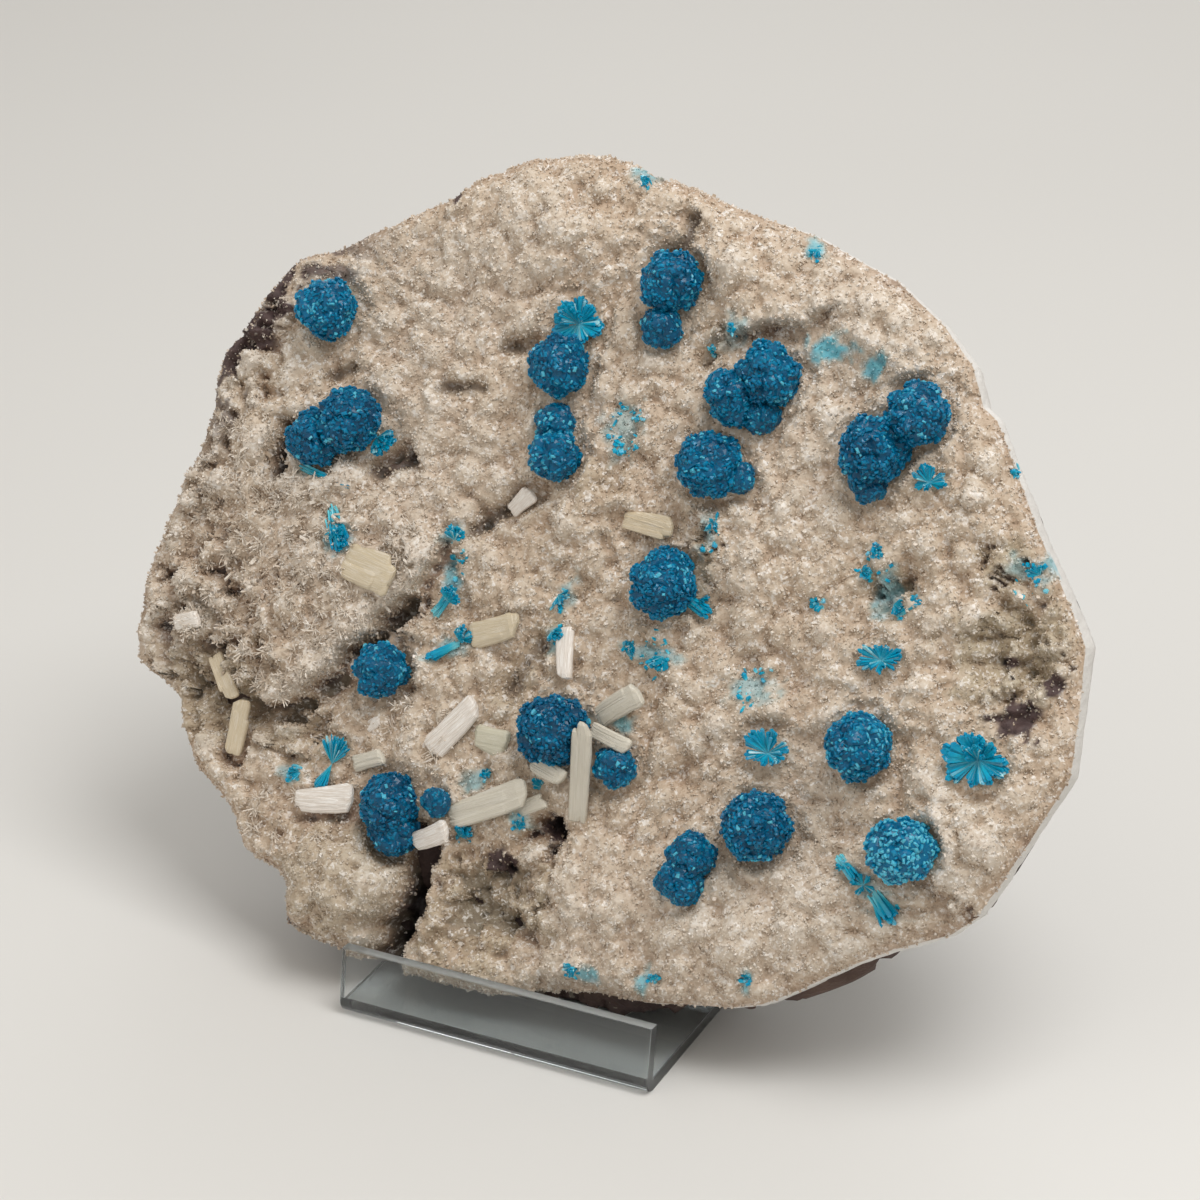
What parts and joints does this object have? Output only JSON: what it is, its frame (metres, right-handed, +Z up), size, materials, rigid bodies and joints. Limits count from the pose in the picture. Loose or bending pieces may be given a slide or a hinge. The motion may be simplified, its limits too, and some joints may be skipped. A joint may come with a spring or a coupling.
{
  "type": "cavansite mineral specimen on a stand",
  "caption": "Plate of basalt crusted with stilbite, dotted with blue cavansite balls and sprays, leaning in a clear bent-sheet stand.",
  "frame": {"origin": "on the floor, under the middle of the bounding box of the plate and its stand", "axes": "+X to the right along the plate's face, +Y to the rear, +Z up; the plate's face looks towards -Y and leans back 25 degrees"},
  "size_m": [0.147, 0.0848, 0.1169],
  "materials": {
    "crusted_basalt": "rough, a sugary crust of small pale crystals on dark rock",
    "cavansite": "glassy small crystal faces",
    "stilbite": "pearly to glassy",
    "clear_sheet": "clear, polished"
  },
  "bodies": {
    "root": {"matrix": "crusted_basalt", "display_stand": "clear_sheet", "cavansite_01": "cavansite", "cavansite_02": "cavansite", "cavansite_03": "cavansite", "cavansite_04": "cavansite", "cavansite_05": "cavansite", "cavansite_06": "cavansite", "cavansite_07": "cavansite", "cavansite_08": "cavansite", "cavansite_09": "cavansite", "cavansite_10": "cavansite", "cavansite_11": "cavansite", "cavansite_12": "cavansite", "cavansite_13": "cavansite", "cavansite_14": "cavansite", "cavansite_15": "cavansite", "cavansite_16": "cavansite", "cavansite_17": "cavansite", "cavansite_18": "cavansite", "cavansite_19": "cavansite", "cavansite_20": "cavansite", "cavansite_21": "cavansite", "cavansite_22": "cavansite", "cavansite_23": "cavansite", "cavansite_24": "cavansite", "cavansite_25": "cavansite", "cavansite_26": "cavansite", "stilbite_01": "stilbite", "stilbite_02": "stilbite", "stilbite_03": "stilbite", "stilbite_04": "stilbite", "stilbite_05": "stilbite", "stilbite_06": "stilbite", "stilbite_07": "stilbite", "stilbite_08": "stilbite", "stilbite_09": "stilbite", "stilbite_10": "stilbite", "stilbite_11": "stilbite", "stilbite_12": "stilbite", "stilbite_13": "stilbite", "stilbite_14": "stilbite", "stilbite_15": "stilbite"}
  },
  "joints": []
}
